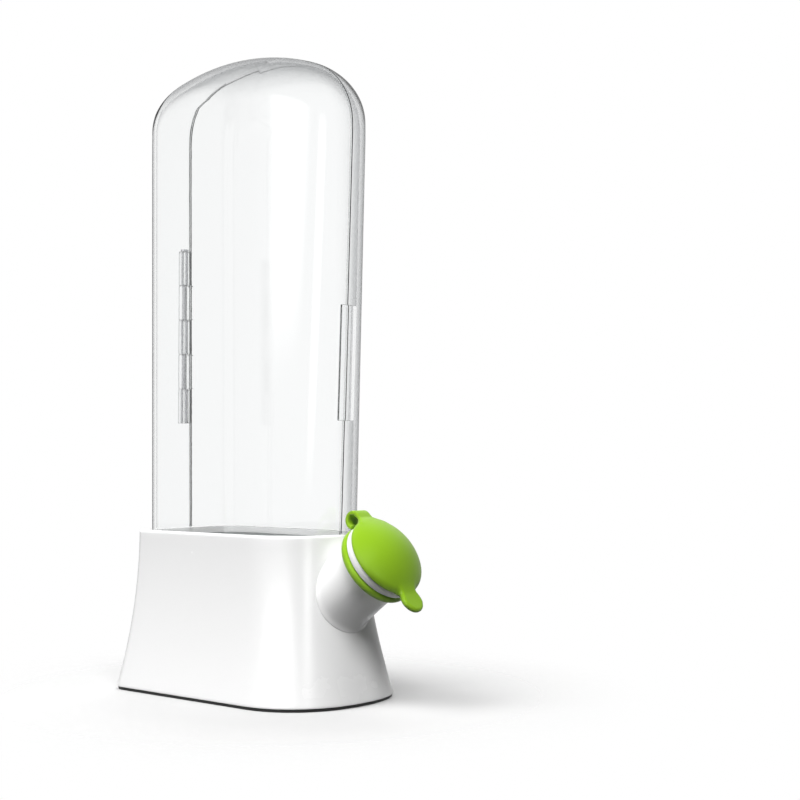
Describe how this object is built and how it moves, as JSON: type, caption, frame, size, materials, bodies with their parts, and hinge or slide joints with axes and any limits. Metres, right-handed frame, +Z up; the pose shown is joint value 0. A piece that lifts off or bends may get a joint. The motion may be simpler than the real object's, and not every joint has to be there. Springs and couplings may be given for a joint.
{
  "type": "herb keeper",
  "caption": "Tall clear two-part pod with a crowned top that stands in a flared water base, with a slanted filling spout and a strapped cap.",
  "frame": {"origin": "on the surface it stands on, on the pod's middle plane, above the middle of the foot, 54 mm behind the tip of the base's nose", "axes": "+Z up, +X towards the nose with the filling spout, +Y towards the pod's door"},
  "size_m": [0.1466, 0.0776, 0.2794],
  "materials": {
    "white_shell": "gloss",
    "clear_shell": "clear gloss",
    "green_silicone": "satin",
    "seal": "satin",
    "foot": "matte",
    "pin": "brushed"
  },
  "bodies": {
    "base": {"base_housing": "white_shell", "filling_spout": "white_shell", "floor_plate": "white_shell", "floor_seal": "seal", "foot_ring": "foot", "mouth_seal": "seal", "cap_ring": "green_silicone", "cap_strap": "green_silicone"},
    "cap": {"filler_cap": "green_silicone"},
    "pod": {"pod_body": "clear_shell", "stem_grate": "white_shell", "door_seal": "seal", "hinge_pin": "pin"},
    "door": {"pod_door": "clear_shell"}
  },
  "joints": [
    {"name": "pod_lift", "type": "slide", "parent": "base", "child": "pod", "axis": [0, 0, 1], "range_m": [0, 0.075]},
    {"name": "door_swing", "type": "hinge", "parent": "pod", "child": "door", "pos_m": [-0.05833, 0, 0.1584], "axis": [0, 0, 1], "range_deg": [0, 165]},
    {"name": "cap_hinge", "type": "hinge", "parent": "base", "child": "cap", "pos_m": [0.05028, 0, 0.07679], "axis": [0, -1, 0], "range_deg": [0, 115], "deforming": ["cap_strap"]}
  ]
}
